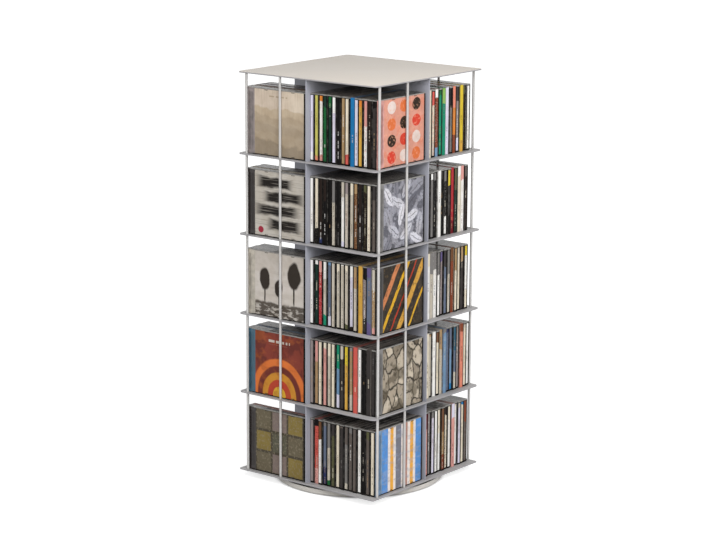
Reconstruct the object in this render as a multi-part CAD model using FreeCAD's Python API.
"""Rotating media tower: five tiers of pinwheel bays on a ball-bearing turntable.

Millimetres, +Z up, origin on the floor at the turning axis. Front is -Y.
Every bay holds one row of media cases: the spines face one side of the tower,
and two rods close off the side that the last cover faces.
"""
import FreeCAD, Part
import math
import os

# ---- plates and tiers -------------------------------------------------------
PLATE_SIDE = 324.0          # all six plates are the same square
PLATE_THICK = 2.5
PLATE_CORNER_R = 8.0        # shelf and top plate corners
BOTTOM_CORNER_R = 3.0       # the bottom plate is cut sharper
TIER_COUNT = 5
TIER_PITCH = 152.0          # plate to plate
BASE_HEIGHT = 15.0          # floor to the underside of the bottom plate

# ---- divider panels ---------------------------------------------------------
PANEL_THICK = 2.0
PANEL_INSET = 2.5           # panel edge to plate edge
PANEL_LAP_PLAY = 0.1        # total play in the half-lap slot
TAB_CENTRE = 60.0           # tab centre from the axis
TAB_WIDTH = 24.0
TAB_PLAY = 0.2              # total play of a tab in its slot

# ---- rods -------------------------------------------------------------------
ROD_R = 2.5
ROD_INSET = 5.0             # rod centre to the plate edge
ROD_FROM_CORNER = (18.0, 99.0)   # rod centres along a face from its left corner
ROD_HOLE_R = 2.6
ROD_THREAD_R = 1.5          # M3
ROD_SCREW_PLAY = 0.1        # round a rod's screw in the bottom plate
ROD_BORE_R = 1.52
ROD_BORE_DEPTH = 12.0
STUD_LENGTH = 9.0
ROD_SCREW_LENGTH = 10.0
ROD_SCREW_HEAD_R = 2.85
ROD_SCREW_HEAD_H = 1.65

# ---- turntable base ---------------------------------------------------------
TRAY_R = 160.0
TRAY_Z0 = 1.2               # underside of the tray above the floor
TRAY_WALL_TOP = 11.2
TRAY_THICK = 1.5
TRAY_BEND_R = 3.0           # outer radius where floor turns into wall
TRAY_BEND_STEPS = 6
PAD_COUNT = 8
PAD_R = 8.0
PAD_CIRCLE_R = 142.0

# ---- ball bearing -----------------------------------------------------------
BALL_R = 3.0
BALL_COUNT = 24
BALL_CIRCLE_R = 110.0
BALL_Z = 9.0
GROOVE_R = 3.08
RACE_GAP = 4.0              # between the two rings, across the balls
OUTER_RACE_R = 126.0
INNER_RACE_R = 94.0
OUTER_RACE_TOP = 12.0
INNER_RACE_BOTTOM = 4.4
CAGE_THICK = 1.6
CAGE_HEIGHT = 8.4
CAGE_POCKET_R = 3.15
RACE_SCREW_R = 2.0          # M4
RACE_SCREW_HEAD_R = 3.75
RACE_SCREW_CLEARANCE = 0.02
OUTER_SCREW_COUNT = 6
INNER_SCREW_COUNT = 4
INNER_SCREW_START = 45.0    # degrees from +X
INNER_SCREW_TIP_Z = 7.0

# ---- media cases ------------------------------------------------------------
CASE_LENGTH = 142.0         # spine to opening edge
CASE_HEIGHT = 125.0
CASE_THICK = 10.1
ROW_START = 1.3             # first cover of a row from the centre plane
ROW_END = 154.2             # last cover of a row that stands against the rods
SPINE_AT = 147.5            # mean spine plane from the centre plane
SPINE_SCATTER = 1.1         # how far single cases stand in or out
SPINE_SCATTER_TURN = 2.4    # radians from case to case
SCATTER_STEPS_PER_TIER = 5  # each row starts elsewhere in the scatter
SCATTER_STEPS_PER_BAY = 3

BAY_NAMES = ("front_right", "front_left", "back_left", "back_right")
# number of cases and their pitch in each row, lowest tier first
ROWS = {
    "front_right": ((15, 10.2), (15, 10.2), (15, 10.2), (15, 10.2), (15, 10.2)),
    "front_left": ((2, 10.2), (6, 10.2), (5, 10.2), (5, 10.2), (7, 10.2)),
    "back_left": ((12, 10.4), (15, 10.2), (11, 10.6), (14, 10.3), (13, 10.5)),
    "back_right": ((14, 10.5), (14, 10.8), (13, 10.8), (13, 10.5), (13, 10.8)),
}
ROWS_AT_RODS = ("front_left",)   # pushed out against the rods; the others start at the panel

OVERCUT = 1.0               # how far a cutting tool runs past a face

HALF_SIDE = PLATE_SIDE / 2
PANEL_HEIGHT = TIER_PITCH - PLATE_THICK
PANEL_LENGTH = PLATE_SIDE - 2 * PANEL_INSET
ROD_BOTTOM = BASE_HEIGHT + PLATE_THICK
ROD_TOP = BASE_HEIGHT + TIER_COUNT * TIER_PITCH
Z_AXIS = FreeCAD.Vector(0, 0, 1)
ORIGIN = FreeCAD.Vector(0, 0, 0)


def box(x0, x1, y0, y1, z0, z1):
    """Box between two corners."""
    return Part.makeBox(x1 - x0, y1 - y0, z1 - z0, FreeCAD.Vector(x0, y0, z0))


def cylinder(radius, x, y, z0, z1):
    """Upright cylinder."""
    return Part.makeCylinder(radius, z1 - z0, FreeCAD.Vector(x, y, z0))


def turned(shape, degrees):
    """Copy of a shape turned about the tower's axis."""
    copy = shape.copy()
    copy.rotate(ORIGIN, Z_AXIS, degrees)
    return copy


def on_circle(radius, count, start_degrees=0.0):
    """Points evenly spaced on a circle about the axis."""
    for i in range(count):
        angle = math.radians(start_degrees + 360.0 * i / count)
        yield radius * math.cos(angle), radius * math.sin(angle)


def revolved(points):
    """Solid turned about the axis from an (r, z) outline."""
    outline = [FreeCAD.Vector(r, 0, z) for r, z in points]
    face = Part.Face(Part.makePolygon(outline + outline[:1]))
    return face.revolve(ORIGIN, Z_AXIS, 360)


def plate_bottom(level):
    """Underside of plate 0 (bottom) to TIER_COUNT (top)."""
    return BASE_HEIGHT + level * TIER_PITCH


def rod_places():
    """The eight rod centres: two to a face, the same on each face in turn."""
    for turn in range(4):
        angle = math.radians(90.0 * turn)
        for from_corner in ROD_FROM_CORNER:
            x = -HALF_SIDE + from_corner
            y = -HALF_SIDE + ROD_INSET
            yield (x * math.cos(angle) - y * math.sin(angle),
                   x * math.sin(angle) + y * math.cos(angle))


def square_plate(level, corner_r):
    """Square sheet with rounded corners, standing at its own level."""
    z0 = plate_bottom(level)
    sheet = box(-HALF_SIDE, HALF_SIDE, -HALF_SIDE, HALF_SIDE, z0, z0 + PLATE_THICK)
    upright = [e for e in sheet.Edges if abs(e.BoundBox.ZLength - PLATE_THICK) < 1e-6]
    return sheet.makeFillet(corner_r, upright)


def tab_slots(level):
    """The four slots that take the tabs of the cross standing on a plate."""
    z0 = plate_bottom(level)
    half_w = (TAB_WIDTH + TAB_PLAY) / 2
    half_t = (PANEL_THICK + TAB_PLAY) / 2
    slot = box(TAB_CENTRE - half_w, TAB_CENTRE + half_w, -half_t, half_t,
               z0 - OVERCUT, z0 + PLATE_THICK + OVERCUT)
    return [turned(slot, 90.0 * i) for i in range(4)]


def rod_holes(level, radius):
    """Round holes for all rods through one plate."""
    z0 = plate_bottom(level)
    return [cylinder(radius, x, y, z0 - OVERCUT, z0 + PLATE_THICK + OVERCUT)
            for x, y in rod_places()]


def shelf(level):
    """Plate between two tiers: rods pass through, the cross above stands in slots."""
    return square_plate(level, PLATE_CORNER_R).cut(tab_slots(level) + rod_holes(level, ROD_HOLE_R))


def bottom_plate():
    """Plate that carries the tower, with countersunk holes for the bearing ring."""
    plate = square_plate(0, BOTTOM_CORNER_R)
    plate = plate.cut(tab_slots(0) + rod_holes(0, ROD_THREAD_R + ROD_SCREW_PLAY))
    return plate.cut(upper_race_screws(RACE_SCREW_CLEARANCE))


def top_plate():
    """Closed cover plate: nothing passes through it."""
    return square_plate(TIER_COUNT, PLATE_CORNER_R)


def panel_blank(tier):
    """Upright panel along X with two tabs below, before its half-lap is cut."""
    z0 = plate_bottom(tier) + PLATE_THICK
    half_l = PANEL_LENGTH / 2
    half_t = PANEL_THICK / 2
    panel = box(-half_l, half_l, -half_t, half_t, z0, z0 + PANEL_HEIGHT)
    tabs = [box(x - TAB_WIDTH / 2, x + TAB_WIDTH / 2, -half_t, half_t, z0 - PLATE_THICK, z0)
            for x in (-TAB_CENTRE, TAB_CENTRE)]
    return panel.fuse(tabs).removeSplitter()


def lap_slot(z0, z1):
    """Slot at the middle of a panel that takes the crossing panel."""
    half = (PANEL_THICK + PANEL_LAP_PLAY) / 2
    return box(-half, half, -PANEL_THICK, PANEL_THICK, z0, z1)


def panel_across(tier):
    """Panel along X, slotted from the top."""
    z0 = plate_bottom(tier) + PLATE_THICK
    return panel_blank(tier).cut(lap_slot(z0 + PANEL_HEIGHT / 2, z0 + PANEL_HEIGHT + OVERCUT))


def panel_deep(tier):
    """Panel along Y, slotted from below."""
    z0 = plate_bottom(tier) + PLATE_THICK
    return turned(panel_blank(tier).cut(lap_slot(z0 - OVERCUT, z0 + PANEL_HEIGHT / 2)), 90)


def rod(x, y):
    """Full-height rod with a tapped bore in each end."""
    bar = cylinder(ROD_R, x, y, ROD_BOTTOM, ROD_TOP)
    lower = cylinder(ROD_BORE_R, x, y, ROD_BOTTOM - OVERCUT, ROD_BOTTOM + ROD_BORE_DEPTH)
    upper = cylinder(ROD_BORE_R, x, y, ROD_TOP - ROD_BORE_DEPTH, ROD_TOP + OVERCUT)
    return bar.cut([lower, upper])


def rod_screws():
    """Button-head screws that pull the rods down on the bottom plate."""
    screws = []
    for x, y in rod_places():
        head = cylinder(ROD_SCREW_HEAD_R, x, y, BASE_HEIGHT - ROD_SCREW_HEAD_H, BASE_HEIGHT)
        shank = cylinder(ROD_THREAD_R, x, y, BASE_HEIGHT, BASE_HEIGHT + ROD_SCREW_LENGTH)
        screws.append(head.fuse(shank).removeSplitter())
    return screws


def rod_studs():
    """Threaded studs welded under the top plate."""
    return [cylinder(ROD_THREAD_R, x, y, ROD_TOP - STUD_LENGTH, ROD_TOP) for x, y in rod_places()]


def base_tray():
    """Spun dish: flat floor, rounded bend and upright wall."""
    bend = TRAY_BEND_R
    inner_bend = bend - TRAY_THICK
    outer = []
    inner = []
    for step in range(TRAY_BEND_STEPS + 1):
        angle = math.radians(90.0 * step / TRAY_BEND_STEPS)
        outer.append((TRAY_R - bend + bend * math.sin(angle), TRAY_Z0 + bend - bend * math.cos(angle)))
        inner.append((TRAY_R - bend + inner_bend * math.sin(angle),
                      TRAY_Z0 + bend - inner_bend * math.cos(angle)))
    outline = [(0, TRAY_Z0)] + outer
    outline += [(TRAY_R, TRAY_WALL_TOP), (TRAY_R - TRAY_THICK, TRAY_WALL_TOP)]
    outline += inner[::-1] + [(0, TRAY_Z0 + TRAY_THICK)]
    return revolved(outline).cut(lower_race_screws(RACE_SCREW_CLEARANCE))


def foot_pads():
    """Rubber pads glued under the tray."""
    return [cylinder(PAD_R, x, y, 0, TRAY_Z0) for x, y in on_circle(PAD_CIRCLE_R, PAD_COUNT)]


def ball_groove():
    """Ring-shaped tool for the grooves that the balls roll in."""
    return Part.makeTorus(BALL_CIRCLE_R, GROOVE_R, FreeCAD.Vector(0, 0, BALL_Z), Z_AXIS)


def ring(inner_r, outer_r, z0, z1):
    """Flat ring about the axis."""
    return cylinder(outer_r, 0, 0, z0, z1).cut(cylinder(inner_r, 0, 0, z0 - OVERCUT, z1 + OVERCUT))


def countersunk_screw(x, y, tip_z, top_z, grow=0.0):
    """Screw pointing down with its head flush with top_z."""
    head_depth = RACE_SCREW_HEAD_R - RACE_SCREW_R
    head = Part.makeCone(RACE_SCREW_R + grow, RACE_SCREW_HEAD_R + grow, head_depth,
                         FreeCAD.Vector(x, y, top_z - head_depth))
    shank = cylinder(RACE_SCREW_R + grow, x, y, tip_z, top_z - head_depth)
    return head.fuse(shank).removeSplitter()


def lower_race_screws(grow=0.0):
    """Screws down through the fixed ring into the tray floor."""
    middle = (BALL_CIRCLE_R + RACE_GAP / 2 + OUTER_RACE_R) / 2
    return [countersunk_screw(x, y, TRAY_Z0, OUTER_RACE_TOP, grow)
            for x, y in on_circle(middle, OUTER_SCREW_COUNT)]


def upper_race_screws(grow=0.0):
    """Screws down through the bottom plate into the turning ring."""
    middle = (BALL_CIRCLE_R - RACE_GAP / 2 + INNER_RACE_R) / 2
    return [countersunk_screw(x, y, INNER_SCREW_TIP_Z, BASE_HEIGHT + PLATE_THICK, grow)
            for x, y in on_circle(middle, INNER_SCREW_COUNT, INNER_SCREW_START)]


def lower_race():
    """Fixed aluminium ring on the tray floor."""
    blank = ring(BALL_CIRCLE_R + RACE_GAP / 2, OUTER_RACE_R, TRAY_Z0 + TRAY_THICK, OUTER_RACE_TOP)
    return blank.cut([ball_groove()] + lower_race_screws(RACE_SCREW_CLEARANCE))


def upper_race():
    """Turning aluminium ring under the bottom plate."""
    blank = ring(INNER_RACE_R, BALL_CIRCLE_R - RACE_GAP / 2, INNER_RACE_BOTTOM, BASE_HEIGHT)
    return blank.cut([ball_groove()] + upper_race_screws(RACE_SCREW_CLEARANCE))


def bearing_balls():
    """Balls evenly spaced in the groove."""
    return [Part.makeSphere(BALL_R, FreeCAD.Vector(x, y, BALL_Z))
            for x, y in on_circle(BALL_CIRCLE_R, BALL_COUNT)]


def ball_cage():
    """Thin ring with a round pocket for each ball, bored towards the axis."""
    band = ring(BALL_CIRCLE_R - CAGE_THICK / 2, BALL_CIRCLE_R + CAGE_THICK / 2,
                BALL_Z - CAGE_HEIGHT / 2, BALL_Z + CAGE_HEIGHT / 2)
    inside = (BALL_CIRCLE_R - CAGE_THICK) / BALL_CIRCLE_R
    pockets = [Part.makeCylinder(CAGE_POCKET_R, 2 * CAGE_THICK,
                                 FreeCAD.Vector(x * inside, y * inside, BALL_Z),
                                 FreeCAD.Vector(x, y, 0))
               for x, y in on_circle(BALL_CIRCLE_R, BALL_COUNT)]
    return band.cut(pockets)


def case_row(tier, bay):
    """Row of closed cases in one bay: spines outwards, covers along the row."""
    z0 = plate_bottom(tier) + PLATE_THICK
    count, pitch = ROWS[BAY_NAMES[bay]][tier]
    start = ROW_START
    if BAY_NAMES[bay] in ROWS_AT_RODS:
        start = ROW_END - CASE_THICK - (count - 1) * pitch
    cases = []
    for i in range(count):
        x0 = start + i * pitch
        step = i + SCATTER_STEPS_PER_TIER * tier + SCATTER_STEPS_PER_BAY * bay
        shift = SPINE_SCATTER * math.sin(SPINE_SCATTER_TURN * step)
        spine = -SPINE_AT + shift
        case = box(x0, x0 + CASE_THICK, spine, spine + CASE_LENGTH, z0, z0 + CASE_HEIGHT)
        cases.append(turned(case, -90.0 * bay))
    return cases


def save(name, shape):
    """Write one node; a list becomes a group of separate solids."""
    if isinstance(shape, (list, tuple)):
        shape = Part.makeCompound(list(shape))
    assert shape.isValid(), name
    shape.exportStep("parts/" + name + ".step")
    print(name, len(shape.Solids), "solids", round(shape.Volume / 1000, 2), "cm3")


def main():
    os.makedirs("parts", exist_ok=True)
    save("base_tray", base_tray())
    save("foot_pads", foot_pads())
    save("lower_race", lower_race())
    save("lower_race_screws", lower_race_screws())
    save("bearing_balls", bearing_balls())
    save("ball_cage", ball_cage())
    save("upper_race", upper_race())
    save("upper_race_screws", upper_race_screws())
    save("bottom_plate", bottom_plate())
    for level in range(1, TIER_COUNT):
        save(f"shelf_{level}", shelf(level))
    save("top_plate", top_plate())
    for tier in range(TIER_COUNT):
        save(f"panel_across_{tier + 1}", panel_across(tier))
        save(f"panel_deep_{tier + 1}", panel_deep(tier))
    for index, (x, y) in enumerate(rod_places()):
        save(f"rod_{index + 1}", rod(x, y))
    save("rod_screws", rod_screws())
    save("rod_studs", rod_studs())
    for tier in range(TIER_COUNT):
        for bay, bay_name in enumerate(BAY_NAMES):
            save(f"cases_{tier + 1}_{bay_name}", case_row(tier, bay))


main()
